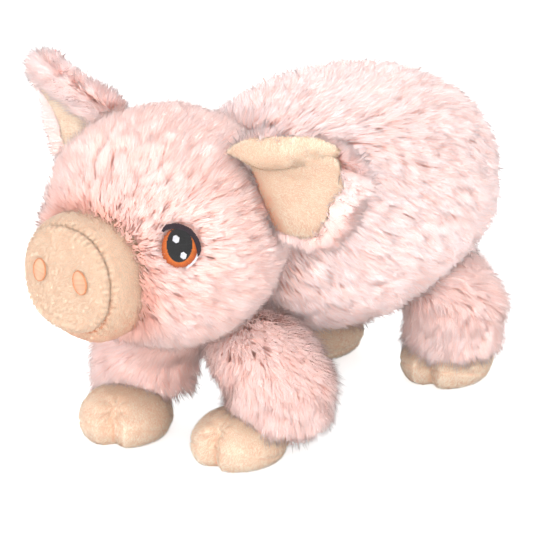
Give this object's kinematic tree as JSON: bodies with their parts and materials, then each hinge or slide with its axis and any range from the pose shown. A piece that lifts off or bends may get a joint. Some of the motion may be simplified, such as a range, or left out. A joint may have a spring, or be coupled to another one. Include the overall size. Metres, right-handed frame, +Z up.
{
  "type": "plush pig",
  "caption": "Standing stuffed toy pig with fur cover, short-pile snout, ears and trotters, embroidered eyes, and sprung soft head, ears, legs and tail.",
  "frame": {"origin": "on the floor, under the middle of the pig", "axes": "+Z up, the pig faces -Y, its left side is +X"},
  "size_m": [0.1942, 0.2559, 0.1585],
  "materials": {
    "fur": "long soft pile, matte",
    "short_pile": "short dense pile, soft sheen",
    "filling": "loose polyester fibre, matte",
    "nostril_thread": "satin stitch",
    "eye_thread": "satin stitch"
  },
  "bodies": {
    "torso": {"torso_cover": "fur", "torso_stuffing": "filling"},
    "neck": {"neck_stuffing": "filling"},
    "head": {"head_cover": "fur", "head_stuffing": "filling", "snout_band": "short_pile", "snout_face": "short_pile", "nostril_left": "nostril_thread", "nostril_right": "nostril_thread", "eye_left": "eye_thread", "eye_right": "eye_thread"},
    "ear_left": {"ear_back_left": "fur", "ear_lining_left": "short_pile"},
    "ear_right": {"ear_back_right": "fur", "ear_lining_right": "short_pile"},
    "leg_front_left": {"leg_cover_front_left": "fur", "leg_stuffing_front_left": "filling", "foot_front_left": "short_pile"},
    "leg_front_right": {"leg_cover_front_right": "fur", "leg_stuffing_front_right": "filling", "foot_front_right": "short_pile"},
    "leg_hind_left": {"leg_cover_hind_left": "fur", "leg_stuffing_hind_left": "filling", "foot_hind_left": "short_pile"},
    "leg_hind_right": {"leg_cover_hind_right": "fur", "leg_stuffing_hind_right": "filling", "foot_hind_right": "short_pile"},
    "tail": {"tail": "fur"}
  },
  "joints": [
    {"name": "neck_turn", "type": "hinge", "parent": "torso", "child": "neck", "pos_m": [0, -0.061, 0.106], "axis": [0, 0, 1], "range_deg": [-14, 14], "stiffness_Nm_per_rad": 0.3},
    {"name": "head_nod", "type": "hinge", "parent": "neck", "child": "head", "pos_m": [0, -0.061, 0.106], "axis": [1, 0, 0], "range_deg": [-10, 10], "stiffness_Nm_per_rad": 0.3},
    {"name": "ear_left_fold", "type": "hinge", "parent": "head", "child": "ear_left", "pos_m": [0.04499, -0.04724, 0.12695], "axis": [0.2423, 0.2833, -0.9279], "range_deg": [-15, 15], "stiffness_Nm_per_rad": 0.05},
    {"name": "ear_right_fold", "type": "hinge", "parent": "head", "child": "ear_right", "pos_m": [-0.04499, -0.04724, 0.12695], "axis": [0.2423, -0.2833, 0.9279], "range_deg": [-15, 15], "stiffness_Nm_per_rad": 0.05},
    {"name": "leg_front_left_swing", "type": "hinge", "parent": "torso", "child": "leg_front_left", "pos_m": [0.038, -0.0295, 0.042], "axis": [1, 0, 0], "range_deg": [-14, 14], "stiffness_Nm_per_rad": 0.5},
    {"name": "leg_front_right_swing", "type": "hinge", "parent": "torso", "child": "leg_front_right", "pos_m": [-0.038, -0.0295, 0.042], "axis": [1, 0, 0], "range_deg": [-14, 14], "stiffness_Nm_per_rad": 0.5},
    {"name": "leg_hind_left_swing", "type": "hinge", "parent": "torso", "child": "leg_hind_left", "pos_m": [0.038, 0.0865, 0.046], "axis": [1, 0, 0], "range_deg": [-14, 14], "stiffness_Nm_per_rad": 0.5},
    {"name": "leg_hind_right_swing", "type": "hinge", "parent": "torso", "child": "leg_hind_right", "pos_m": [-0.038, 0.0865, 0.046], "axis": [1, 0, 0], "range_deg": [-14, 14], "stiffness_Nm_per_rad": 0.5},
    {"name": "tail_wag", "type": "hinge", "parent": "torso", "child": "tail", "pos_m": [0, 0.1175, 0.085], "axis": [0, 1, 0], "range_deg": [-25, 25], "stiffness_Nm_per_rad": 0.01}
  ]
}
